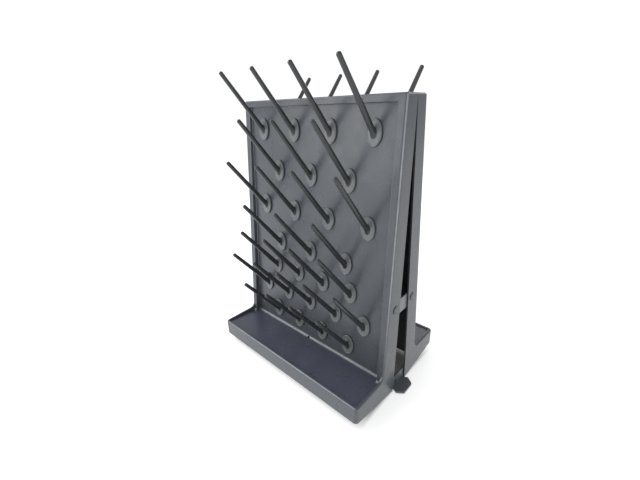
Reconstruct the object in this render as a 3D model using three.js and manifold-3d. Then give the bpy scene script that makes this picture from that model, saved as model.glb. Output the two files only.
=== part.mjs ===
// Double-sided bench-top peg rack for draining and drying bottles and laboratory glassware.
// Two identical moulded boards lean together into an A-frame, each with a drip tray along its
// foot and rows of pull-out pegs. A flat link bar and a foot bracket at each side hold them.
//
// Millimetres. X runs along the rack's width, -Y is the front, +Z is up. The origin is on the
// bench, under the middle of the rack. A board's section is drawn as "reach", the distance out
// from the mid-plane between the two boards, against height.

import * as THREE from "three";
import { mergeVertices } from "three/addons/utils/BufferGeometryUtils.js";
import Module from "manifold-3d";

const wasm = await Module();
wasm.setup();

// Fits and wall
const GAP = 0.3;
const WALL = 3.5;

// Boards
const WIDTH = 456;
const TOP_WIDTH = 440;
const HEIGHT = 631;
const FACE_REACH_TOP = 34;
const FACE_REACH_BOTTOM = 76.5;
const BACK_EDGE_REACH = 27.3;
const PANEL_REACH_TOP = 26.5;
const PANEL_REACH_BOTTOM = 61.8;
const RIM_WIDTH = 17.5;
const RIM_TOP = 14;
const TOP_CORNER_RADIUS = 4;

// Drip tray along the foot of each board
const TRAY_REACH = 168;
const TRAY_TOP = 61.5;
const TRAY_TOP_AT_PANEL = 62.5;
const TRAY_FRONT_LIFT = 22;
const TRAY_LIP = 7;
const TRAY_FLOOR_FRONT = 57;
const TRAY_FLOOR_BACK = 51;
const TRAY_FILLET = 14;
const TRAY_CORNER_RADIUS = 8;
const DRAIN_RADIUS = 3.5;
const DRAIN_OFFSET = -6;

// Pegs, from the top row down. Heights are measured up the recessed panel.
const PEG_ROWS = [
  { height: 568, count: 4, pitch: 104.3 },
  { height: 475.5, count: 3, pitch: 104.3 },
  { height: 386.5, count: 4, pitch: 104.3 },
  { height: 296, count: 3, pitch: 104.3 },
  { height: 230, count: 4, pitch: 80.4 },
  { height: 163.5, count: 5, pitch: 80.4 },
  { height: 95.5, count: 4, pitch: 80.4 },
];
const PEG_LENGTH = 153.5;
const PEG_RISE = THREE.MathUtils.degToRad(46.8);
const PEG_ROOT_RADIUS = 5.8;
const PEG_TIP_RADIUS = 4.4;
const PEG_TIP_ROUND = 3.5;
const PEG_ROOT_START = -14;
const PEG_SIDES = 8;
const PLUG_RADIUS = 8.5;
const PLUG_LENGTH = WALL + 4;
const FLANGE_HALF_WIDTH = 17;
const FLANGE_HALF_HEIGHT = 25;
const FLANGE_THICKNESS = 4.5;
const FLANGE_DRAFT = 0.86;
const FLANGE_SIDES = 14;

// Side link bars
const LINK_HEIGHT = 219;
const LINK_DEPTH = 35;
const LINK_HALF_LENGTH = 44;
const LINK_THICKNESS = 3;
const STUD_HEIGHT = 223;
const STUD_REACH = 35;
const STUD_RADIUS = 3;
const STUD_HEAD_RADIUS = 9.5;
const STUD_HEAD_THICKNESS = 1.5;

// Foot brackets
const FOOT_THICKNESS = 3;
const FOOT_HALF_LENGTH = 44;
const FOOT_END_LOW = 8;
const FOOT_END_HIGH = 25;
const FOOT_CREST = 31;
const FOOT_SHOULDER = 29;
const FOOT_SLOT_OFFSET = -9;
const FOOT_SLOT_HEIGHT = 15;
const FOOT_SLOT_RADIUS = 4;
const FOOT_SLOT_STRETCH = 1.8;
const TAB_THICKNESS = 6;
const TAB_ROOT_HALF_WIDTH = 23;
const TAB_HALF_WIDTH = 28.5;
const TAB_END_HALF_WIDTH = 17;
const TAB_SHOULDER = 9.5;
const TAB_REACH = 25;
const TAB_HOLE_REACH = 18;
const TAB_HOLE_RADIUS = 2.3;

// Facets
const ARC_STEPS = 5;
const ROUND_SIDES = 8;
const BEYOND = 40;

const RIGHT = new THREE.Vector3(1, 0, 0);
const OUT = new THREE.Vector3(0, -1, 0);
const BACK = new THREE.Vector3(0, 1, 0);
const UP = new THREE.Vector3(0, 0, 1);
const LIP_REACH = TRAY_REACH - TRAY_LIP;

const housingPlastic = new THREE.MeshStandardMaterial({ color: 0x6b7073, roughness: 0.45, metalness: 0 });
const pegPlastic = new THREE.MeshStandardMaterial({ color: 0x45494a, roughness: 0.4, metalness: 0 });
const linkPlastic = new THREE.MeshStandardMaterial({ color: 0x8f9298, roughness: 0.35, metalness: 0 });
const footPlastic = new THREE.MeshStandardMaterial({ color: 0x3d4144, roughness: 0.5, metalness: 0 });

// Solids from three.js geometry, and back again

function withoutFlatTriangles(index) {
  const kept = [];
  for (let i = 0; i < index.length; i += 3) {
    const [a, b, c] = index.subarray(i, i + 3);
    if (a !== b && b !== c && c !== a) {
      kept.push(a, b, c);
    }
  }
  return new Uint32Array(kept);
}

function solidOf(geometry) {
  geometry.deleteAttribute("normal");
  geometry.deleteAttribute("uv");
  const merged = mergeVertices(geometry, 1e-4);
  return new wasm.Manifold(new wasm.Mesh({
    numProp: 3,
    vertProperties: merged.attributes.position.array,
    triVerts: withoutFlatTriangles(merged.index.array),
  }));
}

function geometryOf(solid) {
  const mesh = solid.getMesh();
  const geometry = new THREE.BufferGeometry();
  geometry.setAttribute("position", new THREE.BufferAttribute(mesh.vertProperties, 3));
  geometry.setIndex(new THREE.BufferAttribute(mesh.triVerts, 1));
  geometry.computeVertexNormals();
  return geometry;
}

function polygon(points) {
  return new THREE.Shape(points.map(([x, y]) => new THREE.Vector2(x, y)));
}

// A prism of a shape drawn along the directions across and up, starting at a point.
function prism(shape, depth, across, up, start) {
  const along = new THREE.Vector3().crossVectors(across, up);
  const geometry = new THREE.ExtrudeGeometry(shape, {
    depth,
    bevelEnabled: false,
    curveSegments: ARC_STEPS,
  });
  geometry.applyMatrix4(new THREE.Matrix4().makeBasis(across, up, along));
  geometry.translate(start.x, start.y, start.z);
  return solidOf(geometry);
}

// A prism of a section drawn as reach against height, centred on the rack's width.
function sectionPrism(shape, width) {
  return prism(shape, width, OUT, UP, new THREE.Vector3(width / 2, 0, 0));
}

function rod(radius, length, centre, axis) {
  const geometry = new THREE.CylinderGeometry(radius, radius, length, ROUND_SIDES);
  geometry.applyQuaternion(new THREE.Quaternion().setFromUnitVectors(BACK, axis));
  geometry.translate(centre.x, centre.y, centre.z);
  return solidOf(geometry);
}

// A hole whose flats clear a shaft of this radius by the gap, however its facets are turned.
function holeRadius(shaftRadius) {
  return (shaftRadius + GAP) / Math.cos(Math.PI / ROUND_SIDES);
}

// The board's section lines

const FACE_SLOPE = (FACE_REACH_BOTTOM - FACE_REACH_TOP) / HEIGHT;
const PANEL_SLOPE = (PANEL_REACH_BOTTOM - PANEL_REACH_TOP) / HEIGHT;
const PANEL_LEAN = Math.atan(PANEL_SLOPE);

function faceReach(height) {
  return FACE_REACH_BOTTOM - height * FACE_SLOPE;
}

function panelReach(height) {
  return PANEL_REACH_BOTTOM - height * PANEL_SLOPE;
}

function backEdgeReach(height) {
  return GAP / 2 + BACK_EDGE_REACH * (1 - height / HEIGHT);
}

// Half the board's width: upright beside the tray, then closing in towards the top.
function halfWidth(height) {
  const share = Math.max(0, height - TRAY_TOP_AT_PANEL) / (HEIGHT - TRAY_TOP_AT_PANEL);
  return (WIDTH - (WIDTH - TOP_WIDTH) * share) / 2;
}

function trayFloor(reach) {
  const run = LIP_REACH - panelReach(TRAY_FLOOR_BACK);
  const rise = TRAY_FLOOR_FRONT - TRAY_FLOOR_BACK;
  return TRAY_FLOOR_BACK + ((reach - panelReach(TRAY_FLOOR_BACK)) * rise) / run;
}

// The outer section: leaning face, drip tray, and a bottom edge that rises towards the front.
function outerSection() {
  const cornerReach = faceReach(TRAY_TOP_AT_PANEL);
  const filletTop = TRAY_TOP_AT_PANEL + TRAY_FILLET;
  const shape = new THREE.Shape();
  shape.moveTo(backEdgeReach(0), 0);
  shape.lineTo(TRAY_REACH, TRAY_FRONT_LIFT);
  shape.lineTo(TRAY_REACH, TRAY_TOP);
  shape.lineTo(cornerReach + TRAY_FILLET, TRAY_TOP_AT_PANEL);
  shape.quadraticCurveTo(cornerReach, TRAY_TOP_AT_PANEL, faceReach(filletTop), filletTop);
  shape.lineTo(faceReach(HEIGHT), HEIGHT);
  shape.lineTo(backEdgeReach(HEIGHT), HEIGHT);
  return shape;
}

// The space inside the shell, open through the back and the bottom.
function innerSection() {
  const shoulder = TRAY_TOP - WALL;
  return polygon([
    [-BEYOND, -BEYOND],
    [TRAY_REACH - WALL, -BEYOND],
    [TRAY_REACH - WALL, shoulder],
    [faceReach(shoulder) - WALL, shoulder],
    [faceReach(HEIGHT) - WALL, HEIGHT - WALL],
    [-BEYOND, HEIGHT - WALL],
  ]);
}

// The recess in front of the panel. A margin swells it, to leave a wall behind it.
function panelSection(margin) {
  const start = panelReach(TRAY_FLOOR_BACK) - margin;
  const top = HEIGHT - RIM_TOP + margin;
  return polygon([
    [start, trayFloor(start) - margin],
    [LIP_REACH, trayFloor(LIP_REACH) - margin],
    [LIP_REACH, top],
    [panelReach(top) - margin, top],
  ]);
}

// The drip tray's hollow, in front of the board's face.
function traySection(margin, frontReach) {
  const start = faceReach(TRAY_FLOOR_BACK) - margin;
  const top = TRAY_TOP_AT_PANEL + TRAY_FILLET + BEYOND;
  return polygon([
    [start, trayFloor(start) - margin],
    [frontReach, trayFloor(frontReach) - margin],
    [frontReach, top],
    [faceReach(top) - margin, top],
  ]);
}

// The tray's plan: a rectangle with its two front corners rounded.
function trayPlan() {
  const side = WIDTH / 2;
  const centreX = side - TRAY_CORNER_RADIUS;
  const centreReach = TRAY_REACH - TRAY_CORNER_RADIUS;
  const shape = new THREE.Shape();
  shape.moveTo(-side, -BEYOND);
  shape.lineTo(side, -BEYOND);
  shape.lineTo(side, centreReach);
  shape.absarc(centreX, centreReach, TRAY_CORNER_RADIUS, 0, Math.PI / 2, false);
  shape.absarc(-centreX, centreReach, TRAY_CORNER_RADIUS, Math.PI / 2, Math.PI, false);
  return shape;
}

// Everything between the board's two tapering sides, each moved in by a margin.
function betweenSides(margin, topRadius) {
  const centreX = halfWidth(HEIGHT) - margin - topRadius;
  const right = [
    [halfWidth(0) - margin, -BEYOND],
    [halfWidth(0) - margin, TRAY_TOP_AT_PANEL],
  ];
  for (let step = 0; step <= (topRadius > 0 ? ARC_STEPS : 0); step += 1) {
    const angle = (step / ARC_STEPS) * (Math.PI / 2);
    right.push([
      centreX + topRadius * Math.cos(angle),
      HEIGHT - topRadius + topRadius * Math.sin(angle),
    ]);
  }
  const left = right.map(([x, z]) => [-x, z]).reverse();
  const reach = TRAY_REACH + 2 * BEYOND;
  return prism(polygon([...right, ...left]), reach, RIGHT, UP, new THREE.Vector3(0, BEYOND, 0));
}

function pegPositions() {
  const positions = [];
  PEG_ROWS.forEach((row, rowIndex) => {
    for (let column = 0; column < row.count; column += 1) {
      const x = (column - (row.count - 1) / 2) * row.pitch;
      const height = row.height * Math.cos(PANEL_LEAN);
      positions.push({
        name: `${rowIndex + 1}_${column + 1}`,
        point: new THREE.Vector3(x, -panelReach(height), height),
      });
    }
  });
  return positions;
}

const panelNormal = new THREE.Vector3(0, -Math.cos(PANEL_LEAN), Math.sin(PANEL_LEAN));

// One board: panel, rim and drip tray moulded in one piece, with a hole for each peg.
function boardSolid() {
  const planStart = new THREE.Vector3(0, 0, HEIGHT + BEYOND / 2);
  const block = sectionPrism(outerSection(), WIDTH)
    .intersect(prism(trayPlan(), HEIGHT + BEYOND, RIGHT, OUT, planStart))
    .intersect(betweenSides(0, TOP_CORNER_RADIUS));

  const trayWidth = WIDTH - 2 * TRAY_LIP;
  const recess = sectionPrism(panelSection(0), WIDTH).intersect(betweenSides(RIM_WIDTH, 0));
  const tray = sectionPrism(traySection(0, LIP_REACH), trayWidth);

  const walledRecess = sectionPrism(panelSection(WALL), WIDTH)
    .intersect(betweenSides(RIM_WIDTH - WALL, 0));
  const walledTray = sectionPrism(traySection(WALL, TRAY_REACH + WALL), WIDTH + WALL);
  const inside = sectionPrism(innerSection(), WIDTH)
    .intersect(betweenSides(WALL, 0))
    .subtract(walledRecess)
    .subtract(walledTray);

  let board = block.subtract(recess).subtract(tray).subtract(inside);

  for (const { point } of pegPositions()) {
    board = board.subtract(rod(holeRadius(PLUG_RADIUS), 6 * WALL, point, panelNormal));
  }
  const drainReach = panelReach(TRAY_FLOOR_BACK) + DRAIN_RADIUS;
  const drainPoint = new THREE.Vector3(DRAIN_OFFSET, -drainReach, TRAY_FLOOR_BACK);
  board = board.subtract(rod(DRAIN_RADIUS, 6 * WALL, drainPoint, UP));
  for (const side of [-1, 1]) {
    const studPoint = new THREE.Vector3(side * halfWidth(STUD_HEIGHT), -STUD_REACH, STUD_HEIGHT);
    board = board.subtract(rod(holeRadius(STUD_RADIUS), 4 * WALL, studPoint, RIGHT));
  }
  return board;
}

// One peg, standing on the panel: X across, Y up the panel, Z straight out of it. The shaft's
// axis crosses the flange's face in the middle.
function pegSolid() {
  const plugCentre = new THREE.Vector3(0, 0, 2 * GAP - PLUG_LENGTH / 2);
  const plug = rod(PLUG_RADIUS, PLUG_LENGTH + 2 * GAP, plugCentre, UP);

  const flangeGeometry = new THREE.CylinderGeometry(FLANGE_DRAFT, 1, FLANGE_THICKNESS, FLANGE_SIDES);
  flangeGeometry.applyQuaternion(new THREE.Quaternion().setFromUnitVectors(BACK, UP));
  flangeGeometry.scale(FLANGE_HALF_WIDTH, FLANGE_HALF_HEIGHT, 1);
  flangeGeometry.translate(0, 0, GAP + FLANGE_THICKNESS / 2);
  const flange = solidOf(flangeGeometry);

  const faceHeight = GAP + FLANGE_THICKNESS;
  const profile = [
    [0, PEG_ROOT_START],
    [PEG_ROOT_RADIUS, PEG_ROOT_START],
    [PEG_TIP_RADIUS, PEG_LENGTH - PEG_TIP_ROUND],
    [PEG_TIP_RADIUS / 2, PEG_LENGTH - PEG_TIP_ROUND / 4],
    [0, PEG_LENGTH],
  ];
  const shaftGeometry = new THREE.LatheGeometry(profile.map(([r, y]) => new THREE.Vector2(r, y)), PEG_SIDES);
  const direction = new THREE.Vector3(0, Math.sin(PEG_RISE), Math.cos(PEG_RISE));
  shaftGeometry.applyQuaternion(new THREE.Quaternion().setFromUnitVectors(BACK, direction));
  shaftGeometry.translate(0, 0, faceHeight);
  const behindFlange = rod(FLANGE_HALF_HEIGHT, BEYOND, new THREE.Vector3(0, 0, GAP - BEYOND / 2), UP);
  const shaft = solidOf(shaftGeometry).subtract(behindFlange);

  return plug.add(flange).add(shaft);
}

// A flat bar just inside the boards' side walls, with a headed stud through each wall.
function linkSolid() {
  const half = LINK_DEPTH / 2;
  const inner = halfWidth(LINK_HEIGHT + half) - WALL - GAP - LINK_THICKNESS;
  let link = prism(polygon([
    [-LINK_HALF_LENGTH, -half],
    [LINK_HALF_LENGTH, -half],
    [LINK_HALF_LENGTH, half],
    [-LINK_HALF_LENGTH, half],
  ]), LINK_THICKNESS, BACK, UP, new THREE.Vector3(inner, 0, LINK_HEIGHT));

  for (const y of [-STUD_REACH, STUD_REACH]) {
    const wall = halfWidth(STUD_HEIGHT - STUD_HEAD_RADIUS);
    const headCentre = wall + GAP + STUD_HEAD_THICKNESS / 2;
    const shankStart = inner + LINK_THICKNESS / 2;
    const shankPoint = new THREE.Vector3((shankStart + headCentre) / 2, y, STUD_HEIGHT);
    const headPoint = new THREE.Vector3(headCentre, y, STUD_HEIGHT);
    link = link
      .add(rod(STUD_RADIUS, headCentre - shankStart, shankPoint, RIGHT))
      .add(rod(STUD_HEAD_RADIUS, STUD_HEAD_THICKNESS, headPoint, RIGHT));
  }
  return link;
}

// An upright plate across the gap between the boards, with a tab on the bench to screw it down.
function footSolid() {
  const inner = WIDTH / 2 - WALL - GAP - FOOT_THICKNESS;
  const plate = prism(polygon([
    [-TAB_ROOT_HALF_WIDTH, 0],
    [TAB_ROOT_HALF_WIDTH, 0],
    [FOOT_HALF_LENGTH, FOOT_END_LOW],
    [FOOT_HALF_LENGTH, FOOT_END_HIGH],
    [FOOT_HALF_LENGTH / 2, FOOT_SHOULDER],
    [0, FOOT_CREST],
    [-FOOT_HALF_LENGTH / 2, FOOT_SHOULDER],
    [-FOOT_HALF_LENGTH, FOOT_END_HIGH],
    [-FOOT_HALF_LENGTH, FOOT_END_LOW],
  ]), FOOT_THICKNESS, BACK, UP, new THREE.Vector3(inner, 0, 0));

  const side = WIDTH / 2;
  const tab = prism(polygon([
    [inner, -TAB_ROOT_HALF_WIDTH],
    [side + GAP, -TAB_ROOT_HALF_WIDTH],
    [side + TAB_SHOULDER, -TAB_HALF_WIDTH],
    [side + TAB_REACH, -TAB_END_HALF_WIDTH],
    [side + TAB_REACH, TAB_END_HALF_WIDTH],
    [side + TAB_SHOULDER, TAB_HALF_WIDTH],
    [side + GAP, TAB_ROOT_HALF_WIDTH],
    [inner, TAB_ROOT_HALF_WIDTH],
  ]), TAB_THICKNESS, RIGHT, BACK, new THREE.Vector3(0, 0, 0));

  const slotPoint = new THREE.Vector3(inner, FOOT_SLOT_OFFSET, FOOT_SLOT_HEIGHT / FOOT_SLOT_STRETCH);
  const slot = rod(FOOT_SLOT_RADIUS, 4 * FOOT_THICKNESS, slotPoint, RIGHT).scale([1, 1, FOOT_SLOT_STRETCH]);
  const screwHole = rod(TAB_HOLE_RADIUS, 4 * TAB_THICKNESS,
    new THREE.Vector3(side + TAB_HOLE_REACH, 0, 0), UP);
  return plate.add(tab).subtract(slot).subtract(screwHole);
}

function named(name, geometry, material) {
  const mesh = new THREE.Mesh(geometry, material);
  mesh.name = name;
  return mesh;
}

const boardGeometry = geometryOf(boardSolid());
const pegGeometry = geometryOf(pegSolid());
const linkGeometry = geometryOf(linkSolid());
const footGeometry = geometryOf(footSolid());

// A board with its pegs. Columns are numbered from the left, seen from that board's own side.
function boardWithPegs(side) {
  const group = new THREE.Group();
  group.add(named(`${side}_board`, boardGeometry, housingPlastic));
  for (const { name, point } of pegPositions()) {
    const peg = named(`${side}_peg_${name}`, pegGeometry, pegPlastic);
    peg.position.copy(point);
    peg.rotation.x = Math.PI / 2 - PANEL_LEAN;
    group.add(peg);
  }
  return group;
}

// The link bar and foot bracket at one end of the rack.
function endFittings(side) {
  const group = new THREE.Group();
  group.add(named(`${side}_link_bar`, linkGeometry, linkPlastic));
  group.add(named(`${side}_foot_bracket`, footGeometry, footPlastic));
  return group;
}

const rack = new THREE.Group();
rack.add(boardWithPegs("front"));
rack.add(endFittings("right"));

const turnedHalf = new THREE.Group();
turnedHalf.rotation.z = Math.PI;
turnedHalf.add(boardWithPegs("back"));
turnedHalf.add(endFittings("left"));
rack.add(turnedHalf);

export default rack;
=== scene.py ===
import math

import bmesh
import bpy
import numpy as np
from mathutils import Matrix, Vector


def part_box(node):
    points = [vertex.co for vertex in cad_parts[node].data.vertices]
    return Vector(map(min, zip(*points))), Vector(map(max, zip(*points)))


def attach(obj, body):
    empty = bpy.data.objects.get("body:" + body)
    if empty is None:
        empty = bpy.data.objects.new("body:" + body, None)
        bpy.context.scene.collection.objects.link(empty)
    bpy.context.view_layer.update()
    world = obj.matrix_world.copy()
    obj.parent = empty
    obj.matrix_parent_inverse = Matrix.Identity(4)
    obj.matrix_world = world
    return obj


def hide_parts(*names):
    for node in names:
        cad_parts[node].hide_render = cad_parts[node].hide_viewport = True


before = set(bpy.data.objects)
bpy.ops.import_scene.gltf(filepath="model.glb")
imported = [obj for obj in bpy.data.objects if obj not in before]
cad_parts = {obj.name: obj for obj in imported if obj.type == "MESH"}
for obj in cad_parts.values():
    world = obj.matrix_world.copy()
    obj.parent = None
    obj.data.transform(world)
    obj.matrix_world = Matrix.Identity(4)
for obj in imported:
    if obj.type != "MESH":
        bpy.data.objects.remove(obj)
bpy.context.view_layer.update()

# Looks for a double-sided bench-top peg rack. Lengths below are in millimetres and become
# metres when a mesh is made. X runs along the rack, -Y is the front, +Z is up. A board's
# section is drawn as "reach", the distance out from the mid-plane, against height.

MM = 0.001

# Boards
WALL = 3.5
HALF_WIDTH = 228
TOP_HALF_WIDTH = 220
HEIGHT = 631
FACE_REACH_TOP = 34
FACE_REACH_BOTTOM = 76.5
PANEL_REACH_TOP = 26.5
PANEL_REACH_BOTTOM = 61.8
BACK_EDGE_TOP = 0.15
BACK_EDGE_BOTTOM = 27.45
RIM_BOTTOM = 617
RIM_INNER_X = 210.5
RIM_STEP_RUN = 6
RIM_STEP_WIDTH = 10
LIP_STEP_DEPTH = 6
STEP_DRAFT = 0.2
EDGE_ROUND = 4.5
INNER_EDGE_ROUND = 0.8
LIP_TURN_HEIGHT = 92
PANEL_TURN_HEIGHT = 84
SIDE_EDGE_TOP = 624
SIDE_EDGE_NEXT = 600
SIDE_EDGE_REACH = 150
TOP_CORNER_ROUND = 4
TRAY_CORNER_ROUND = 8

# Drip tray
TRAY_REACH = 168
LIP_REACH = 161
LIP_INNER_X = 221
TRAY_TOP = 61.5
TRAY_TOP_AT_PANEL = 62.5
TRAY_FRONT_LIFT = 22
FLOOR_AT_PANEL = 51
FLOOR_AT_LIP = 57
FILLET = 14
TRAY_WALL_MARKS = (46, 38)
DRAIN_RADIUS = 3.5
DRAIN_X = -6

# Pegs
TOP_ROW_HEIGHT = 568
TOP_ROW_X = -156.45
PEG_LENGTH = 153.5
PEG_RISE = math.radians(46.8)
ROOT_RADIUS = 5.8
TIP_RADIUS = 4.4
TIP_ROUND = 3.5
SHAFT_START = 15
FLANGE_TOP = 4.8
# Height of the painted contact shadow band round the flange's foot.
FLANGE_SHADOW_TOP = 1.6
PLUG_RADIUS = 8.5
PLUG_LENGTH = 7.5
FLANGE_HALF_WIDTH = 17
FLANGE_HALF_HEIGHT = 25
PEG_HOLE_RADIUS = 9.2

# Side fittings
LINK_INNER_X = 218.8
LINK_HEIGHT = 219
LINK_DEPTH = 35
LINK_CORNER = 5
FOOT_INNER_X = 221.2
FITTING_HALF_LENGTH = 44
FITTING_THICKNESS = 3
STUD_HEIGHT = 223
STUD_REACH = 35
STUD_RADIUS = 3
STUD_HEAD_RADIUS = 9.5
STUD_HOLE_RADIUS = 3.5
FOOT_CREST = 31
FOOT_END_LOW = 8
FOOT_END_HIGH = 25
FOOT_HALF_BASE = 23
FOOT_SLOT_AT = (-9, 15)
FOOT_SLOT_RADIUS = 4
FOOT_SLOT_STRETCH = 1.8
TAB_THICKNESS = 6
TAB_TOP_ROUND = 1.0
TAB_SETBACK = 0.01
TAB_ROOT = 0.3
TAB_SHOULDER = 9.5
TAB_HALF_SHOULDER = 28.5
TAB_END = 25
TAB_HALF_END = 17
TAB_HOLE_AT = 18
TAB_HOLE_RADIUS = 2.3
TAB_SINK_RADIUS = 3.7
TAB_SINK_DEPTH = 1.4

FACE_SLOPE = (FACE_REACH_BOTTOM - FACE_REACH_TOP) / HEIGHT
PANEL_SLOPE = (PANEL_REACH_BOTTOM - PANEL_REACH_TOP) / HEIGHT
PANEL_LEAN = math.atan(PANEL_SLOPE)
SIDE_SLOPE = (HALF_WIDTH - TOP_HALF_WIDTH) / (HEIGHT - TRAY_TOP_AT_PANEL)


# Camera, in metres

CAMERA_AT = Vector((0.49661, -0.54920, 0.60798))
CAMERA_LOOKS_AT = Vector((-0.012696, 0, 0.30718))
CAMERA_ROLL = math.radians(-1.5535)
LENS = 18.265


def add_camera():
    camera = bpy.data.objects.new("camera", bpy.data.cameras.new("camera"))
    bpy.context.scene.collection.objects.link(camera)
    camera.data.sensor_width = 36
    camera.data.lens = LENS
    forward = (CAMERA_LOOKS_AT - CAMERA_AT).normalized()
    level = forward.cross(Vector((0, 0, 1))).normalized()
    upright = level.cross(forward)
    right = math.cos(CAMERA_ROLL) * level + math.sin(CAMERA_ROLL) * upright
    up = math.cos(CAMERA_ROLL) * upright - math.sin(CAMERA_ROLL) * level
    turn = Matrix((right, up, -forward)).transposed().to_4x4()
    camera.matrix_world = Matrix.Translation(CAMERA_AT) @ turn
    bpy.context.scene.camera = camera


add_camera()


# Procedural plastics

def noise_value(nodes, links, coordinates, scale, detail):
    """Soft noise from 0 to 1, at a scale in cells per metre."""
    noise = nodes.new("ShaderNodeTexNoise")
    noise.inputs["Scale"].default_value = scale
    noise.inputs["Detail"].default_value = detail
    links.new(coordinates, noise.inputs["Vector"])
    return noise.outputs["Fac"]


def ranged(nodes, links, value, low, high, start=0.3, end=0.7):
    """Goes from low to high while the value goes from start to end."""
    mapped = nodes.new("ShaderNodeMapRange")
    mapped.inputs["From Min"].default_value = start
    mapped.inputs["From Max"].default_value = end
    mapped.inputs["To Min"].default_value = low
    mapped.inputs["To Max"].default_value = high
    links.new(value, mapped.inputs["Value"])
    return mapped.outputs["Result"]


def math_node(nodes, links, operation, first, second=0.0):
    """A maths step on one or two inputs, each a socket or a number."""
    node = nodes.new("ShaderNodeMath")
    node.operation = operation
    for socket, value in zip(node.inputs, (first, second)):
        if isinstance(value, bpy.types.NodeSocket):
            links.new(value, socket)
        else:
            socket.default_value = value
    return node.outputs[0]


def mixed(nodes, links, factor, first, second, blend="MIX"):
    """One colour laid over another, each a socket or a colour."""
    mix = nodes.new("ShaderNodeMix")
    mix.data_type = "RGBA"
    mix.blend_type = blend
    for socket, value in ((mix.inputs[0], factor), (mix.inputs[6], first), (mix.inputs[7], second)):
        if isinstance(value, bpy.types.NodeSocket):
            links.new(value, socket)
        else:
            socket.default_value = value
    return mix.outputs[2]


def split(nodes, links, vector):
    """The X, Y and Z sockets of a vector."""
    parts = nodes.new("ShaderNodeSeparateXYZ")
    links.new(vector, parts.inputs[0])
    return parts.outputs["X"], parts.outputs["Y"], parts.outputs["Z"]


def surface_normal(nodes, links):
    return split(nodes, links, nodes.new("ShaderNodeNewGeometry").outputs["Normal"])


def painted_edge_highlight(nodes, links, coordinates):
    """From 0 to 1: painted highlight lines along the upright corners, and along the tray's lip and its
    fillet.
    """
    x, y, z = (math_node(nodes, links, "ABSOLUTE", part) for part in surface_normal(nodes, links))
    upright = ranged(nodes, links, math_node(nodes, links, "MULTIPLY", x, y), 0, 1, 0.3, 0.48)
    level = ranged(nodes, links, math_node(nodes, links, "MULTIPLY", y, z), 0, 1, 0.34, 0.49)
    height = split(nodes, links, coordinates)[2]
    high = ranged(nodes, links, height, 0, 1, 0.1, 0.25)
    low = math_node(nodes, links, "SUBTRACT", 1.0, high)
    return math_node(nodes, links, "MAXIMUM",
                    math_node(nodes, links, "MULTIPLY", upright, high),
                    math_node(nodes, links, "MULTIPLY", level, low))


def painted_sky_tint(nodes, links, coordinates):
    """From 0 to 1: a painted bluish tint of cool light on the level floors of the trays."""
    level = ranged(nodes, links, surface_normal(nodes, links)[2], 0, 1, 0.9, 0.98)
    low = ranged(nodes, links, split(nodes, links, coordinates)[2], 1, 0, 0.07, 0.1)
    unevenness = ranged(nodes, links, noise_value(nodes, links, coordinates, 9, 3), 0.5, 1)
    return math_node(nodes, links, "MULTIPLY", math_node(nodes, links, "MULTIPLY", level, low), unevenness)


# The bluish colour painted on the level tray floors as cool light.
SKY_TINT_COLOUR = (0.083, 0.088, 0.126, 1)


def moulded_plastic(name, dark, light, wear_and_highlight_tone, roughness, grain, grain_depth, is_board=False):
    """Satin moulded plastic: cloudy colour, fine grain, lighter edges and an uneven polish; on the boards
    the lighter edges are painted highlight lines, and the tray floors get a painted bluish tint of light.
    """
    material = bpy.data.materials.new(name)
    material.use_nodes = True
    nodes, links = material.node_tree.nodes, material.node_tree.links
    shader = nodes["Principled BSDF"]
    coordinates = nodes.new("ShaderNodeTexCoord").outputs["Object"]

    clouds = ranged(nodes, links, noise_value(nodes, links, coordinates, 7, 4), 0, 1)
    speckle = ranged(nodes, links, noise_value(nodes, links, coordinates, grain * 0.6, 2), 0, 1)
    flow = ranged(nodes, links, noise_value(nodes, links, coordinates, 45, 3), 0, 1)
    colour = mixed(nodes, links, clouds, (*dark, 1), (*light, 1))
    speckle_and_sky_tint = mixed(nodes, links, 0.07, colour, speckle, "OVERLAY")

    # On the boards: painted highlight lines, and a painted bluish tint of light on the tray floors.
    if is_board:
        wear_and_highlight = painted_edge_highlight(nodes, links, coordinates)
        sky_tint = painted_sky_tint(nodes, links, coordinates)
        speckle_and_sky_tint = mixed(nodes, links, sky_tint, speckle_and_sky_tint, SKY_TINT_COLOUR)
    else:
        edge = nodes.new("ShaderNodeNewGeometry").outputs["Pointiness"]
        wear_and_highlight = ranged(nodes, links, edge, 0, 0.5, 0.53, 0.6)
    patchy = ranged(nodes, links, noise_value(nodes, links, coordinates, 60, 3), 0.65, 1)
    wear_and_highlight = math_node(nodes, links, "MULTIPLY", wear_and_highlight, patchy)
    wear_and_highlight_colour = mixed(nodes, links, wear_and_highlight, speckle_and_sky_tint, (*wear_and_highlight_tone, 1))
    links.new(wear_and_highlight_colour, shader.inputs["Base Color"])

    polish = ranged(nodes, links, flow, roughness - 0.04, roughness + 0.05, 0, 1)
    links.new(polish, shader.inputs["Roughness"])

    bump = nodes.new("ShaderNodeBump")
    bump.inputs["Strength"].default_value = 0.35
    bump.inputs["Distance"].default_value = grain_depth
    links.new(noise_value(nodes, links, coordinates, grain, 3), bump.inputs["Height"])
    links.new(bump.outputs["Normal"], shader.inputs["Normal"])
    shader.inputs["IOR"].default_value = 1.5
    return material


# Each has its dark and light colours, the colour of its edge wear (on the boards, the colour of the
# painted highlight lines), its roughness, its grain per metre and the grain's depth in metres.
housing = moulded_plastic("housing_plastic", (0.064, 0.072, 0.083), (0.074, 0.083, 0.095),
                          (0.29, 0.30, 0.32), 0.30, 1500, 0.00005, is_board=True)
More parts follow.
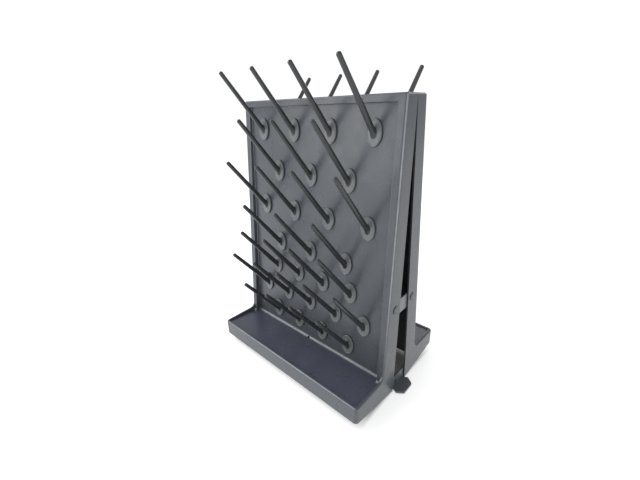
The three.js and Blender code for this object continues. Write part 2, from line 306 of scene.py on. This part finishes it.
# A darker copy of the plastic for the boards' inner faces: painted shade in their hollows.
shaded_inside = moulded_plastic("inner_shaded_plastic", (0.022, 0.025, 0.030), (0.030, 0.033, 0.038),
                         (0.07, 0.074, 0.08), 0.55, 1300, 0.00016)
charcoal = moulded_plastic("peg_plastic", (0.027, 0.029, 0.031), (0.036, 0.039, 0.041),
                           (0.07, 0.074, 0.078), 0.23, 1800, 0.00003)
# A lighter copy of the peg plastic for the flange faces: painted light.
flange_lit_grey = moulded_plastic("flange_lit_plastic", (0.128, 0.138, 0.144), (0.150, 0.160, 0.167),
                              (0.30, 0.305, 0.31), 0.28, 1700, 0.00005)
# A paler copy of the peg plastic for the back board's pegs, painted paler than the front ones.
paler_peg = moulded_plastic("paler_peg_plastic", (0.050, 0.052, 0.054), (0.064, 0.066, 0.068),
                        (0.11, 0.113, 0.116), 0.23, 1800, 0.00003)
pale = moulded_plastic("link_plastic", (0.175, 0.18, 0.195), (0.205, 0.21, 0.225),
                       (0.42, 0.42, 0.44), 0.42, 1500, 0.0001)
deep = moulded_plastic("foot_plastic", (0.090, 0.100, 0.110), (0.108, 0.118, 0.128),
                       (0.13, 0.135, 0.14), 0.42, 1300, 0.00014)


# Mesh helpers

def mesh_object(name, points, faces, material, sharp_angle=32):
    """An object from points in millimetres, shaded smooth except across sharp edges."""
    mesh = bpy.data.meshes.new(name)
    mesh.from_pydata([tuple(float(c) * MM for c in p) for p in points], [], faces)
    mesh.validate()
    finish_mesh(mesh, sharp_angle)
    mesh.materials.append(material)
    obj = bpy.data.objects.new(name, mesh)
    bpy.context.scene.collection.objects.link(obj)
    return obj


def finish_mesh(mesh, sharp_angle=32):
    """Welds a mesh, turns its faces outwards and shades it smooth between sharp edges."""
    work = bmesh.new()
    work.from_mesh(mesh)
    bmesh.ops.remove_doubles(work, verts=work.verts, dist=1e-6)
    bmesh.ops.recalc_face_normals(work, faces=work.faces)
    work.to_mesh(mesh)
    work.free()
    mesh.shade_smooth()
    mesh.set_sharp_from_angle(angle=math.radians(sharp_angle))


def apply_modifiers(obj):
    bpy.context.view_layer.update()
    evaluated = obj.evaluated_get(bpy.context.evaluated_depsgraph_get())
    mesh = bpy.data.meshes.new_from_object(evaluated)
    obj.modifiers.clear()
    obj.data = mesh


def combine(obj, others, operation):
    """Cuts the others out of an object, or joins them to it, and removes them."""
    for other in others:
        modifier = obj.modifiers.new("cut", "BOOLEAN")
        modifier.operation = operation
        modifier.solver = "EXACT"
        modifier.object = other
    apply_modifiers(obj)
    for other in others:
        bpy.data.objects.remove(other)
    finish_mesh(obj.data)
    return obj


def even_shading(obj):
    """Keeps wide flats flat in shading next to small rounded edges."""
    modifier = obj.modifiers.new("flats", "WEIGHTED_NORMAL")
    modifier.keep_sharp = True
    modifier.weight = 90


def ring_faces(rings, segments):
    """Faces round a stack of rings, closed by one point under the first and one over the last.

    The two points follow the rings: the lower one first."""
    faces = []
    for ring in range(rings - 1):
        for k in range(segments):
            a = ring * segments + k
            b = ring * segments + (k + 1) % segments
            faces.append((a, b, b + segments, a + segments))
    base = rings * segments
    last = base - segments
    for k in range(segments):
        following = (k + 1) % segments
        faces.append((base, following, k))
        faces.append((base + 1, last + k, last + following))
    return faces


def lathe(name, profile, material, segments=32):
    """A turned solid from (radius, height) pairs, from the middle of its base to its top."""
    points = []
    for radius, height in profile[1:-1]:
        for k in range(segments):
            angle = 2 * math.pi * k / segments
            points.append((radius * math.cos(angle), radius * math.sin(angle), height))
    points += [(0, 0, profile[0][1]), (0, 0, profile[-1][1])]
    return mesh_object(name, points, ring_faces(len(profile) - 2, segments), material)


def unit(vector):
    return vector / np.linalg.norm(vector)


def rounded_path(corners, tangents, arc_steps, flat_steps):
    """A path with its inner corners rounded into arcs that start a tangent length away."""
    corners = [np.array(c, float) for c in corners]
    points = [corners[0]]
    start = corners[0]
    for i, tangent in enumerate(tangents, 1):
        corner = corners[i]
        arriving = unit(corner - corners[i - 1])
        leaving = unit(corners[i + 1] - corner)
        enter = corner - tangent * arriving
        leave = corner + tangent * leaving
        for k in range(1, flat_steps[i - 1]):
            points.append(start + (enter - start) * k / flat_steps[i - 1])
        weight = math.sqrt(max(0, (1 + arriving @ leaving) / 2))
        for k in range(arc_steps + 1):
            u = k / arc_steps
            a, b, c = (1 - u) ** 2, 2 * weight * u * (1 - u), u ** 2
            points.append((a * enter + b * corner + c * leave) / (a + b + c))
        start = leave
    for k in range(1, flat_steps[-1] + 1):
        points.append(start + (corners[-1] - start) * k / flat_steps[-1])
    return np.array(points)


# The board shell

def face_reach(height):
    return FACE_REACH_BOTTOM - height * FACE_SLOPE


def panel_reach(height):
    return PANEL_REACH_BOTTOM - height * PANEL_SLOPE


def back_edge(height):
    return BACK_EDGE_TOP + (BACK_EDGE_BOTTOM - BACK_EDGE_TOP) * (1 - height / HEIGHT)


def bottom_edge(reach):
    """The height of the side wall's lower edge, which rises towards the tray's front."""
    return TRAY_FRONT_LIFT * (reach - BACK_EDGE_BOTTOM) / (TRAY_REACH - BACK_EDGE_BOTTOM)


def tray_floor(reach):
    start = panel_reach(FLOOR_AT_PANEL)
    return FLOOR_AT_PANEL + (FLOOR_AT_LIP - FLOOR_AT_PANEL) * (reach - start) / (LIP_REACH - start)


ARC_STEPS = 5
FLAT_STEPS = (2, 2, 1, 8, 2, 4, 1, 1, 3)


def lip_top(reach):
    run = TRAY_REACH - face_reach(TRAY_TOP_AT_PANEL)
    fall = TRAY_TOP_AT_PANEL - TRAY_TOP
    return TRAY_TOP_AT_PANEL - fall * (reach - face_reach(TRAY_TOP_AT_PANEL)) / run


def outer_sections():
    """The three sections of the outside: along the side lip, the side rim and the panel."""
    top = [(BACK_EDGE_TOP, HEIGHT), (FACE_REACH_TOP, HEIGHT)]
    rim_marks = [(face_reach(z), z) for z in (RIM_BOTTOM, RIM_BOTTOM - RIM_STEP_RUN)]
    tray_front = [(TRAY_REACH, TRAY_TOP), (TRAY_REACH, TRAY_FRONT_LIFT)]
    lip_wall = [(LIP_REACH, FLOOR_AT_LIP), (LIP_REACH, lip_top(LIP_REACH))]
    rim_foot = face_reach(FLOOR_AT_PANEL)
    lip = top + rim_marks + [
        (face_reach(LIP_TURN_HEIGHT), LIP_TURN_HEIGHT),
        (face_reach(TRAY_TOP_AT_PANEL), TRAY_TOP_AT_PANEL),
        (LIP_REACH - 2.5, lip_top(LIP_REACH - 2.5)),
        (LIP_REACH + 1, lip_top(LIP_REACH + 1)),
    ] + tray_front
    rim = top + rim_marks + [
        (face_reach(PANEL_TURN_HEIGHT), PANEL_TURN_HEIGHT),
        (rim_foot, tray_floor(rim_foot)),
    ] + lip_wall + tray_front
    panel = top + [
        (face_reach(RIM_BOTTOM), RIM_BOTTOM),
        (panel_reach(RIM_BOTTOM), RIM_BOTTOM),
        (panel_reach(PANEL_TURN_HEIGHT), PANEL_TURN_HEIGHT),
        (panel_reach(FLOOR_AT_PANEL), FLOOR_AT_PANEL),
    ] + lip_wall + tray_front
    lip_tangents = (3, 1.2, 1.2, 2, FILLET, 1, 1, 3.6)
    tangents = (3, 1.2, 1.2, 2, 8, 2.4, 2.8, 3.6)
    return [
        rounded_path(lip, lip_tangents, ARC_STEPS, FLAT_STEPS),
        rounded_path(rim, tangents, ARC_STEPS, FLAT_STEPS),
        rounded_path(panel, tangents, ARC_STEPS, FLAT_STEPS),
    ]


def inner_sections():
    """The same three sections, one wall thickness further in."""
    under = HEIGHT - WALL
    ledge = RIM_BOTTOM + WALL
    front = TRAY_REACH - WALL
    top = [(BACK_EDGE_TOP, under), (face_reach(under) - WALL, under)]
    tray_front = [(front, tray_floor(front) - WALL)]
    tray_front += [(front, z) for z in TRAY_WALL_MARKS]
    tray_front.append((front, bottom_edge(front)))
    rim_foot = face_reach(FLOOR_AT_PANEL) - WALL
    panel_foot = panel_reach(FLOOR_AT_PANEL) - WALL
    rim_heights = (ledge, ledge - RIM_STEP_RUN, PANEL_TURN_HEIGHT)
    rim = top + [(face_reach(z) - WALL, z) for z in rim_heights]
    rim += [(rim_foot, tray_floor(rim_foot) - WALL)] + tray_front
    panel = top + [
        (face_reach(ledge) - WALL, ledge),
        (panel_reach(ledge) - WALL, ledge),
        (panel_reach(PANEL_TURN_HEIGHT) - WALL, PANEL_TURN_HEIGHT),
        (panel_foot, tray_floor(panel_foot) - WALL),
    ] + tray_front
    tangents = (1, 0.8, 0.8, 2, 3, 1, 1, 1)
    rim_path = rounded_path(rim, tangents, ARC_STEPS, FLAT_STEPS)
    panel_path = rounded_path(panel, tangents, ARC_STEPS, FLAT_STEPS)
    return [rim_path, rim_path, panel_path]


def free_edge(section):
    """Where each row of the section meets the open back or bottom edge of the side wall."""
    rows = len(section)
    # The rows halfway round the section's first corner and its fifth, which is the fillet.
    top_rows = FLAT_STEPS[0] + ARC_STEPS // 2
    heel = sum(FLAT_STEPS[:5]) + 4 * ARC_STEPS + ARC_STEPS // 2
    edge = []
    for row in range(rows):
        if row <= top_rows:
            height = SIDE_EDGE_TOP - (SIDE_EDGE_TOP - SIDE_EDGE_NEXT) * row / top_rows
            edge.append((back_edge(height), height))
        elif row <= heel:
            height = SIDE_EDGE_NEXT * (heel - row) / (heel - top_rows)
            edge.append((back_edge(height), height))
        else:
            share = (row - heel) / (rows - 1 - heel)
            reach = BACK_EDGE_BOTTOM + (SIDE_EDGE_REACH - BACK_EDGE_BOTTOM) * share
            edge.append((reach, bottom_edge(reach)))
    return np.array(edge)


def outward(section):
    """The normal at each point of a section, away from the plastic."""
    run = np.gradient(section, axis=0)
    normal = np.stack([-run[:, 1], run[:, 0]], axis=1)
    return normal / np.linalg.norm(normal, axis=1, keepdims=True)


def step_columns(start, edge, end, depth, tangent):
    """(x, share) pairs down one moulded step: share goes from 0 on its top to 1 at its foot."""
    corners = [(start, 0), (edge + STEP_DRAFT, 0), (edge - STEP_DRAFT, depth), (end, depth)]
    path = rounded_path(corners, (tangent, tangent), 4, (1, 1, 1))
    return [(x, drop / depth) for x, drop in path]


def sheet_points(sections, half_width, edge_round, lip_x, rim_x):
    """Rows of points over one side of the shell, from the right free edge to the left one."""
    lip, rim, panel = sections
    free = free_edge(lip)
    normal = outward(lip)
    columns = []
    wall_top = lip - normal * edge_round
    for k in range(3):
        columns.append((half_width, free + (wall_top - free) * k / 3))
    for k in range(ARC_STEPS + 1):
        angle = math.pi / 2 * (1 - k / ARC_STEPS)
        x = half_width - edge_round * (1 - math.sin(angle))
        columns.append((x, lip - normal * edge_round * (1 - math.cos(angle))))
    middle = (lip_x + rim_x) / 2
    for x, share in step_columns(half_width - edge_round, lip_x, middle, LIP_STEP_DEPTH, 1.2)[1:]:
        columns.append((x, lip + (rim - lip) * share))
    inner_x = rim_x - RIM_STEP_WIDTH
    for x, share in step_columns(middle, rim_x, inner_x, RIM_STEP_WIDTH, 1.6)[1:]:
        columns.append((x, rim + (panel - rim) * share))
    for k in range(1, 4):
        columns.append((inner_x * (1 - k / 3), panel))
    right = [np.column_stack([np.full(len(s), x), s]) for x, s in columns]
    left = [c * (-1, 1, 1) for c in right[-2::-1]]
    points = round_off(np.stack(right + left, axis=1))
    return drawn_in(points, inner_x)


SQUARENESS = 6


def round_off(points):
    """Rounds the tray's upright front corners and the board's top corners."""
    for axis, limit, radius in ((1, TRAY_REACH, TRAY_CORNER_ROUND), (2, HEIGHT, TOP_CORNER_ROUND)):
        across = np.abs(points[..., 0]) - (HALF_WIDTH - radius)
        along = points[..., axis] - (limit - radius)
        in_corner = (across > 0) & (along > 0)
        a, b = across[in_corner], along[in_corner]
        scale = (a ** SQUARENESS + b ** SQUARENESS) ** (1 / SQUARENESS) / np.hypot(a, b)
        side = np.sign(points[..., 0][in_corner])
        points[..., 0][in_corner] = side * (HALF_WIDTH - radius + a * scale)
        points[..., axis][in_corner] = limit - radius + b * scale
    points[-1, :, 2] = bottom_edge(points[-1, :, 1])
    return points


def drawn_in(points, inner_x):
    """Draws the sides and the rims in towards the top, and leaves the middle of the panel."""
    narrowing = SIDE_SLOPE * np.clip(points[..., 2] - TRAY_TOP_AT_PANEL, 0, None)
    share = np.clip(3 * np.abs(points[..., 0]) / inner_x - 2, 0, 1)
    points[..., 0] -= np.sign(points[..., 0]) * narrowing * share
    return points


def side_x(height):
    """Half the board's width at a height."""
    return HALF_WIDTH - SIDE_SLOPE * max(0, height - TRAY_TOP_AT_PANEL)


def grid_faces(rows, columns, first):
    faces = []
    for r in range(rows - 1):
        for c in range(columns - 1):
            a = first + r * columns + c
            faces.append((a, a + 1, a + columns + 1, a + columns))
    return faces


def rim_loop(rows, columns):
    """The points round the free edge of a grid, in order."""
    top = list(range(columns))
    right = [r * columns + columns - 1 for r in range(1, rows)]
    bottom = [(rows - 1) * columns + c for c in range(columns - 2, -1, -1)]
    left = [r * columns for r in range(rows - 2, 0, -1)]
    return top + right + bottom + left


def peg_roots():
    """The point on the panel under each front peg, from where the CAD pegs stand."""
    height = TOP_ROW_HEIGHT * math.cos(PANEL_LEAN)
    first = Vector((TOP_ROW_X, -panel_reach(height), height)) * MM
    first_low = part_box("front_peg_1_1")[0]
    names = sorted(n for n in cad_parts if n.startswith("front_peg_"))
    return {n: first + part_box(n)[0] - first_low for n in names}


PEG_TURN = Matrix.Rotation(math.pi / 2 - PANEL_LEAN, 4, "X")


def board_shell(name):
    """One board with its tray: an outer and an inner sheet joined round the free edge, then drilled."""
    outer = sheet_points(outer_sections(), HALF_WIDTH, EDGE_ROUND, LIP_INNER_X, RIM_INNER_X)
    inner = sheet_points(inner_sections(), HALF_WIDTH - WALL, INNER_EDGE_ROUND,
                         LIP_INNER_X - 1, RIM_INNER_X + WALL)
    rows, columns, _ = outer.shape
    points = np.concatenate([outer.reshape(-1, 3), inner.reshape(-1, 3)])
    points[:, 1] *= -1
    second = rows * columns
    faces = grid_faces(rows, columns, 0) + grid_faces(rows, columns, second)
    loop = rim_loop(rows, columns)
    for a, b in zip(loop, loop[1:] + loop[:1]):
        faces.append((a, b, b + second, a + second))
    shell = mesh_object(name, points, faces, housing)
    # The inner sheet and the free edge take the darker inner plastic, which is painted shade.
    shell.data.materials.append(shaded_inside)
    outside_faces = (rows - 1) * (columns - 1)
    for polygon in shell.data.polygons:
        if polygon.index >= outside_faces:
            polygon.material_index = 1

    cutters = []
    hole = lathe("hole", [(0, -8), (PEG_HOLE_RADIUS, -8), (PEG_HOLE_RADIUS, -0.6),
                          (PEG_HOLE_RADIUS + 0.6, 0), (PEG_HOLE_RADIUS + 0.6, 3), (0, 3)], housing, 40)
    for root in peg_roots().values():
        cutter = bpy.data.objects.new("cutter", hole.data)
        bpy.context.scene.collection.objects.link(cutter)
        cutter.matrix_world = Matrix.Translation(root) @ PEG_TURN
        cutters.append(cutter)
    bpy.data.objects.remove(hole)
    drain = lathe("drain", [(0, -12), (DRAIN_RADIUS, -12), (DRAIN_RADIUS, 9), (0, 9)], housing, 24)
    drain.matrix_world = Matrix.Translation(
        Vector((DRAIN_X, -panel_reach(FLOOR_AT_PANEL) - DRAIN_RADIUS, FLOOR_AT_PANEL)) * MM)
    cutters.append(drain)
    for side in (-1, 1):
        stud = lathe("stud", [(0, -6), (STUD_HOLE_RADIUS, -6), (STUD_HOLE_RADIUS, 6), (0, 6)], housing, 24)
        stud.matrix_world = Matrix.Translation(
            Vector((side * side_x(STUD_HEIGHT), -STUD_REACH, STUD_HEIGHT)) * MM
        ) @ Matrix.Rotation(math.pi / 2, 4, "Y")
        cutters.append(stud)
    return combine(shell, cutters, "DIFFERENCE")


# Pegs

PEG_SEGMENTS = 36


def peg_points():
    """Rings round a peg that stands on the XY plane: X across, Y up the panel, Z out of it."""
    angles = [2 * math.pi * k / PEG_SEGMENTS for k in range(PEG_SEGMENTS)]
    rise, level = math.sin(PEG_RISE), math.cos(PEG_RISE)
    rings = []

    def oval(half_width, half_height, z):
        rings.append([(half_width * math.cos(a), half_height * math.sin(a), z) for a in angles])

    def slanted(radius, height):
        """The shaft cut level at a height above the panel."""
        ring = []
        for a in angles:
            run = (height - FLANGE_TOP + radius * rise * math.sin(a)) / level
            ring.append((radius * math.cos(a),
                         run * rise + radius * level * math.sin(a), height))
        rings.append(ring)

    def square(radius, run):
        """The shaft cut square at a distance along it."""
        ring = []
        for a in angles:
            ring.append((radius * math.cos(a),
                         run * rise + radius * level * math.sin(a),
                         FLANGE_TOP + run * level - radius * rise * math.sin(a)))
        rings.append(ring)

    for radius, z in ((PLUG_RADIUS - 0.9, -PLUG_LENGTH), (PLUG_RADIUS - 0.2, -PLUG_LENGTH + 0.7),
                      (PLUG_RADIUS, -PLUG_LENGTH + 1.6), (PLUG_RADIUS, 0.3)):
        oval(radius, radius, z)
    for share, z in ((0.955, 0.3), (0.96, 1.0), (1.0, 1.3), (0.995, 2.4), (0.985, 3.3), (0.965, 4.1),
                     (0.935, 4.65), (0.905, 4.8), (0.875, 4.75), (0.84, 4.5), (0.81, 4.25), (0.77, 4.15)):
        inset = FLANGE_HALF_WIDTH * (1 - share)
        oval(FLANGE_HALF_WIDTH - inset, FLANGE_HALF_HEIGHT - inset, z)
    for extra, height in ((2.6, 4.2), (1.7, 4.5), (0.9, 5.2), (0.4, 6.3), (0, 8)):
        slanted(ROOT_RADIUS + extra, height)
    shaft_end = PEG_LENGTH - TIP_ROUND
    for k in range(12):
        run = SHAFT_START + (shaft_end - SHAFT_START) * k / 11
        square(ROOT_RADIUS + (TIP_RADIUS - ROOT_RADIUS) * run / shaft_end, run)
    for k in range(1, 6):
        angle = math.pi / 2 * k / 6
        square(TIP_RADIUS * math.cos(angle), shaft_end + TIP_ROUND * math.sin(angle))
    tip = (0, PEG_LENGTH * rise, FLANGE_TOP + PEG_LENGTH * level)
    return rings, tip


def peg_object(name, rod_material):
    """One peg: its rod in the given plastic, its flange face in a lighter copy as painted light, and the
    flange's low band in the rod's dark plastic as a painted contact shadow.
    """
    rings, tip = peg_points()
    points = [p for ring in rings for p in ring] + [(0, 0, -PLUG_LENGTH), tip]
    peg = mesh_object(name, points, ring_faces(len(rings), PEG_SEGMENTS), rod_material, 40)
    peg.data.materials.append(flange_lit_grey)
    for polygon in peg.data.polygons:
        heights = [peg.data.vertices[v].co.z / MM for v in polygon.vertices]
        # Faces above the low band take the lighter flange plastic, painted light; the low band round the
        # flange's foot keeps the dark rod plastic as a painted contact shadow.
        if min(heights) > FLANGE_SHADOW_TOP and max(heights) < FLANGE_TOP + 0.3:
            polygon.material_index = 1
    return peg


# Side fittings

def plate(name, outline, thickness, material, edge_round=0.6):
    """A flat plate from an outline in its own XY plane, with its edges rounded over."""
    work = bmesh.new()
    loop = [work.verts.new((x * MM, y * MM, 0)) for x, y in outline]
    face = work.faces.new(loop)
    grown = bmesh.ops.extrude_face_region(work, geom=[face])
    moved = [v for v in grown["geom"] if isinstance(v, bmesh.types.BMVert)]
    bmesh.ops.translate(work, verts=moved, vec=(0, 0, thickness * MM))
    bmesh.ops.recalc_face_normals(work, faces=work.faces)
    rims = [e for e in work.edges if e.calc_face_angle(0) > math.radians(60)
            and abs(e.verts[0].co.z - e.verts[1].co.z) < 1e-7]
    bmesh.ops.bevel(work, geom=rims, offset=edge_round * MM, segments=3, affect="EDGES", profile=0.5)
    mesh = bpy.data.meshes.new(name)
    work.to_mesh(mesh)
    work.free()
    finish_mesh(mesh)
    mesh.materials.append(material)
    obj = bpy.data.objects.new(name, mesh)
    bpy.context.scene.collection.objects.link(obj)
    return obj


UPRIGHT = Matrix(((0, 0, 1, 0), (1, 0, 0, 0), (0, 1, 0, 0), (0, 0, 0, 1)))


def closed_path(corners, tangents):
    """A closed outline with its corners rounded."""
    start = (np.array(corners[0], float) + np.array(corners[-1], float)) / 2
    path = rounded_path([start, *corners, start], tangents, ARC_STEPS, [1] * (len(corners) + 1))
    return [tuple(p) for p in path[:-1]]


def link_plate(name):
    half, depth = FITTING_HALF_LENGTH, LINK_DEPTH / 2
    corners = [(-half, -depth), (half, -depth), (half, depth), (-half, depth)]
    bar = plate(name, closed_path(corners, [LINK_CORNER] * 4), FITTING_THICKNESS, pale)
    bar.matrix_world = Matrix.Translation(Vector((LINK_INNER_X, 0, LINK_HEIGHT)) * MM) @ UPRIGHT
    return bar


def link_stud(name):
    """A push-in stud standing on the side wall: a shank and a low cap with a groove round it."""
    rim = STUD_HEAD_RADIUS
    profile = [(0, -6.2), (STUD_RADIUS - 0.4, -6.2), (STUD_RADIUS, -5.8), (STUD_RADIUS, 0.2),
               (rim - 0.3, 0.2), (rim, 0.5), (rim, 0.9), (rim - 0.35, 1.35), (rim - 0.9, 1.5),
               (rim - 2.2, 1.5), (rim - 2.6, 1.35), (rim - 2.8, 0.9), (rim - 3.3, 0.9),
               (rim - 3.5, 1.35), (rim - 3.9, 1.5), (0, 1.55)]
    return lathe(name, profile, housing, 40)


def foot_plate(name):
    half = FITTING_HALF_LENGTH
    crest = [(half * math.sin(t), FOOT_END_HIGH + (FOOT_CREST - FOOT_END_HIGH) * math.cos(t))
             for t in np.linspace(math.pi / 2, -math.pi / 2, 17)]
    base = [(-FOOT_HALF_BASE, 0), (FOOT_HALF_BASE, 0), (half, FOOT_END_LOW)]
    outline = base + crest + [(-half, FOOT_END_LOW)]
    upright = plate(name, outline, FITTING_THICKNESS, deep)
    upright.matrix_world = Matrix.Translation(Vector((FOOT_INNER_X, 0, 0)) * MM) @ UPRIGHT
    return upright


def foot_bracket(name):
    """The upright plate and the bench tab in one, with the plate's slot and the tab's screw hole."""
    upright = foot_plate(name)
    half_outline = [
        (FOOT_INNER_X + TAB_SETBACK, FOOT_HALF_BASE),
        (HALF_WIDTH + TAB_ROOT, FOOT_HALF_BASE),
        (HALF_WIDTH + TAB_SHOULDER, TAB_HALF_SHOULDER),
        (HALF_WIDTH + TAB_END, TAB_HALF_END),
    ]
    corners = [(x, -y) for x, y in half_outline] + half_outline[::-1]
    outline = closed_path(corners, (0.5, 1, 3, 2.5, 2.5, 3, 1, 0.5))
    tab = plate("tab", outline, TAB_THICKNESS, deep, TAB_TOP_ROUND)
    bracket = combine(upright, [tab], "UNION")
    slot = lathe("slot", [(0, -8), (FOOT_SLOT_RADIUS, -8), (FOOT_SLOT_RADIUS, 8), (0, 8)], deep, 32)
    slot.matrix_world = (Matrix.Translation(Vector((FOOT_INNER_X, *FOOT_SLOT_AT)) * MM)
                         @ Matrix.Diagonal((1, 1, FOOT_SLOT_STRETCH, 1))
                         @ Matrix.Rotation(math.pi / 2, 4, "Y"))
    screw = lathe("screw", [(0, -2), (TAB_HOLE_RADIUS, -2),
                            (TAB_HOLE_RADIUS, TAB_THICKNESS - TAB_SINK_DEPTH),
                            (TAB_SINK_RADIUS, TAB_THICKNESS),
                            (TAB_SINK_RADIUS, TAB_THICKNESS + 2), (0, TAB_THICKNESS + 2)], deep, 32)
    screw.matrix_world = Matrix.Translation(Vector((HALF_WIDTH + TAB_HOLE_AT, 0, 0)) * MM)
    return combine(bracket, [slot, screw], "DIFFERENCE")


# Put the pieces together

HALF_TURN = Matrix.Rotation(math.pi, 4, "Z")


def twin(obj, name):
    """The same piece on the other side of the rack, turned half way round."""
    copy = bpy.data.objects.new(name, obj.data)
    bpy.context.scene.collection.objects.link(copy)
    bpy.context.view_layer.update()
    copy.matrix_world = HALF_TURN @ obj.matrix_world
    return copy


def place(obj, body, slot, *nodes):
    """Puts a piece on its body, in place of the CAD nodes that it shows; the slot is not used."""
    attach(obj, body)
    if nodes:
        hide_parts(*nodes)


front_shell = board_shell("front_board_shell")
back_shell = twin(front_shell, "back_board_shell")
for shell, node in ((front_shell, "front_board"), (back_shell, "back_board")):
    even_shading(shell)
    place(shell, "frame", "housing", node)

# The pegs on the back board get a paler copy of the same peg plastic, painted paler than the front pegs.
sample = peg_object("peg_sample", charcoal)
paler_sample = peg_object("paler_peg_sample", paler_peg)
for front_name, root in peg_roots().items():
    peg = bpy.data.objects.new(front_name + "_rod", sample.data)
    bpy.context.scene.collection.objects.link(peg)
    peg.matrix_world = Matrix.Translation(root) @ PEG_TURN
    bpy.context.view_layer.update()
    back_name = front_name.replace("front", "back")
    back_peg = twin(peg, back_name + "_rod")
    back_peg.data = paler_sample.data
    place(peg, front_name, "peg", front_name)
    place(back_peg, back_name, "peg", back_name)
bpy.data.objects.remove(sample)
bpy.data.objects.remove(paler_sample)

link_right = link_plate("right_link_flat")
foot_right = foot_bracket("right_foot_angle")
for piece in (link_right, foot_right):
    even_shading(piece)
bpy.context.view_layer.update()
link_left = twin(link_right, "left_link_flat")
foot_left = twin(foot_right, "left_foot_angle")
even_shading(link_left)
even_shading(foot_left)
place(link_right, "frame", "link", "right_link_bar")
place(link_left, "frame", "link", "left_link_bar")
place(foot_right, "frame", "foot", "right_foot_bracket")
place(foot_left, "frame", "foot", "left_foot_bracket")

stud = link_stud("stud_sample")
for side, turn in (("right", Matrix.Identity(4)), ("left", HALF_TURN)):
    for label, reach in (("front", STUD_REACH), ("back", -STUD_REACH)):
        copy = bpy.data.objects.new(f"{side}_{label}_stud", stud.data)
        bpy.context.scene.collection.objects.link(copy)
        at = Vector((side_x(STUD_HEIGHT), -reach, STUD_HEIGHT)) * MM
        lean = Matrix.Rotation(math.pi / 2 - math.atan(SIDE_SLOPE), 4, "Y")
        copy.matrix_world = turn @ Matrix.Translation(at) @ lean
        place(copy, "frame", "housing")
bpy.data.objects.remove(stud)


# Studio

RACK_MIDDLE = Vector((0, 0, 0.3))
FLOOR_RADIUS = 9
FLOOR_SEGMENTS = 64


def add_floor():
    """Pale paper that glows a little round the rack, so it looks white, and not under it."""
    angles = [2 * math.pi * k / FLOOR_SEGMENTS for k in range(FLOOR_SEGMENTS)]
    points = [(FLOOR_RADIUS * math.cos(a), FLOOR_RADIUS * math.sin(a), 0) for a in angles]
    mesh = bpy.data.meshes.new("floor")
    mesh.from_pydata(points, [], [tuple(range(FLOOR_SEGMENTS))])
    material = bpy.data.materials.new("floor_paper")
    material.use_nodes = True
    shader = material.node_tree.nodes["Principled BSDF"]
    shader.inputs["Base Color"].default_value = (0.93, 0.93, 0.93, 1)
    shader.inputs["Roughness"].default_value = 0.9
    shader.inputs["Emission Color"].default_value = (1, 1, 1, 1)
    nodes, links = material.node_tree.nodes, material.node_tree.links
    x, y, _ = split(nodes, links, nodes.new("ShaderNodeTexCoord").outputs["Object"])
    past_ends = ranged(nodes, links, math_node(nodes, links, "ABSOLUTE", x), 0, 0.5, 0.222, 0.232)
    past_trays = ranged(nodes, links, math_node(nodes, links, "ABSOLUTE", y), 0, 0.5, 0.09, 0.165)
    glow = math_node(nodes, links, "MAXIMUM", past_ends, past_trays)
    links.new(glow, shader.inputs["Emission Strength"])
    mesh.materials.append(material)
    floor = bpy.data.objects.new("floor", mesh)
    bpy.context.scene.collection.objects.link(floor)


def add_softbox(name, at, size, power, tint):
    """A round soft light that faces the middle of the rack."""
    light = bpy.data.lights.new(name, "AREA")
    light.shape = "DISK"
    light.size = size
    light.energy = power
    light.color = tint
    obj = bpy.data.objects.new(name, light)
    bpy.context.scene.collection.objects.link(obj)
    obj.location = at
    obj.rotation_euler = (RACK_MIDDLE - Vector(at)).to_track_quat("-Z", "Y").to_euler()


def add_world():
    """White where the camera sees it, and a dimmer dome of light for the rack."""
    world = bpy.data.worlds.new("studio")
    world.use_nodes = True
    nodes, links = world.node_tree.nodes, world.node_tree.links
    background = nodes["Background"]
    background.inputs["Color"].default_value = (0.99, 0.995, 1.0, 1)
    seen = nodes.new("ShaderNodeLightPath").outputs["Is Camera Ray"]
    links.new(ranged(nodes, links, seen, 0.62, 1.06, 0, 1), background.inputs["Strength"])
    bpy.context.scene.world = world


add_floor()
add_world()
add_softbox("key", (-1.35, -2.05, 0.85), 1.4, 15, (1.0, 1.0, 1.0))
add_softbox("top", (-1.9, -1.2, 2.4), 1.6, 30, (0.95, 0.97, 1.0))
add_softbox("side", (1.5, -1.0, 0.36), 0.5, 2.2, (1.0, 1.0, 1.0))
add_softbox("rear", (-0.6, 2.2, 1.5), 1.2, 8, (1.0, 1.0, 1.0))
bpy.context.scene.view_settings.view_transform = "Standard"
bpy.context.scene.view_settings.look = "None"
